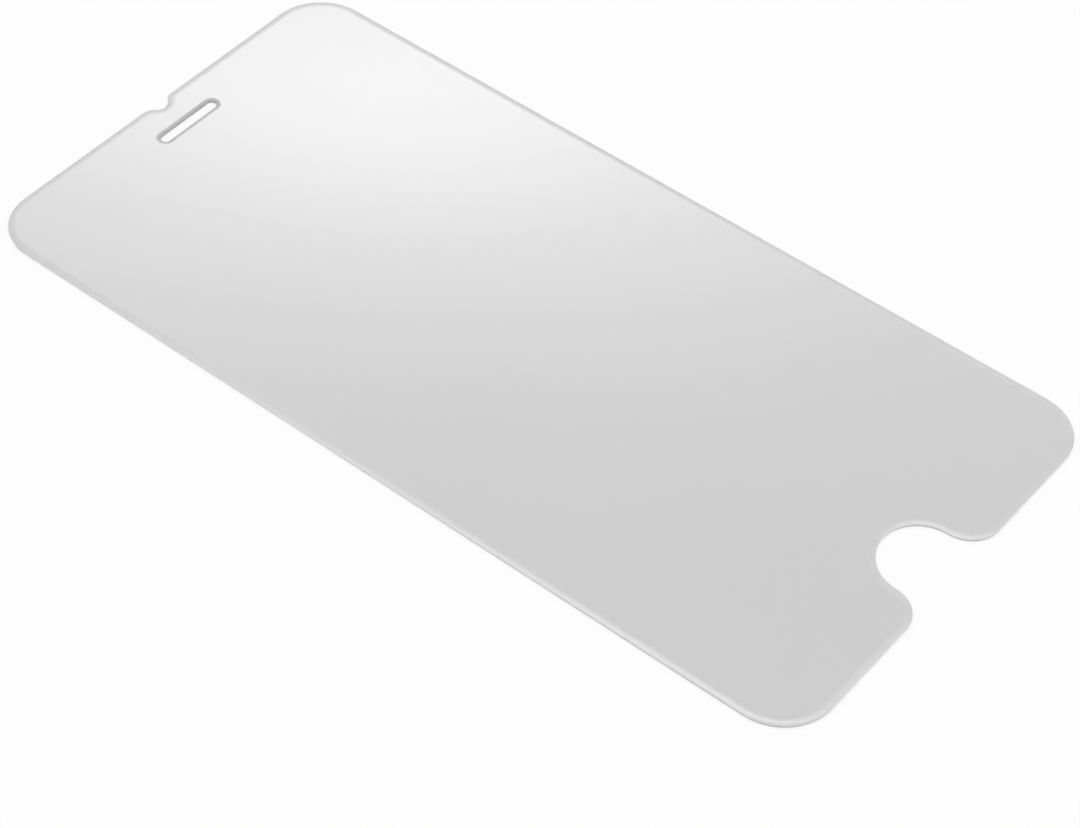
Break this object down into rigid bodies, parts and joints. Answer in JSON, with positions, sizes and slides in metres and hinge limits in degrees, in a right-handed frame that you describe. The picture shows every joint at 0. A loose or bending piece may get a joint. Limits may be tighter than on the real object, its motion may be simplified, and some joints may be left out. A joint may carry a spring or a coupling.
{
  "type": "phone screen protector",
  "caption": "Thin flat glass sheet that covers a phone's screen, with rounded corners, a ground rim, a slot over the ear speaker and a round notch that leaves the home button free.",
  "frame": {"origin": "middle of the flat adhesive back face, at the centre of the sheet's outline", "axes": "+Z out of the front face, +Y along the sheet from the home-button notch to the ear-speaker slot, +X to the right seen from the front"},
  "size_m": [0.066, 0.132, 0.0003],
  "materials": {
    "glass": "polished glass with a faint neutral grey tint and a finely ground rim"
  },
  "bodies": {
    "root": {"screen_protector": "glass"}
  },
  "joints": []
}
